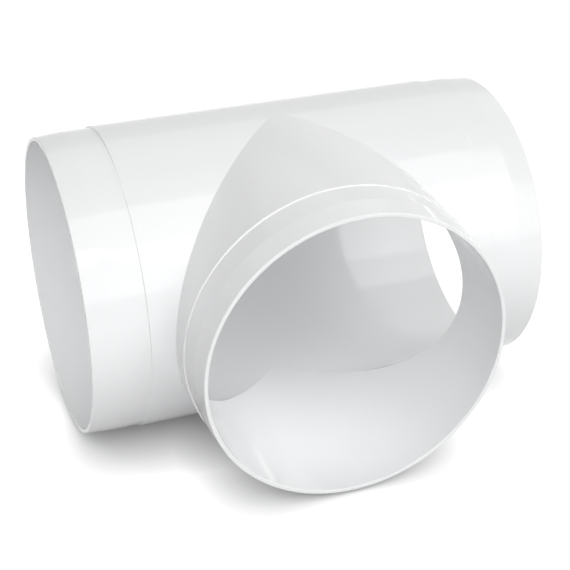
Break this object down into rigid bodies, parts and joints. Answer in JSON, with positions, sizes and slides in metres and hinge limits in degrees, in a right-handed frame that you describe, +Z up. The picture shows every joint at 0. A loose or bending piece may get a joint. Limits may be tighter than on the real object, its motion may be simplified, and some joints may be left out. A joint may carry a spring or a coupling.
{
  "type": "round duct tee",
  "caption": "Round duct tee moulded in white plastic: a straight run with an equal branch square to it, each open end a male spigot with a lead-in taper and a stop shoulder.",
  "frame": {"origin": "crossing of the run's axis and the branch's axis, at mid-length of the run's bore", "axes": "+X along the run, -Y out along the branch, +Z up as the tee lies with its three axes level"},
  "size_m": [0.153, 0.1258, 0.1006],
  "materials": {
    "white_plastic": "smooth injection-moulded plastic with a soft gloss"
  },
  "bodies": {
    "root": {"tee_body": "white_plastic"}
  },
  "joints": []
}
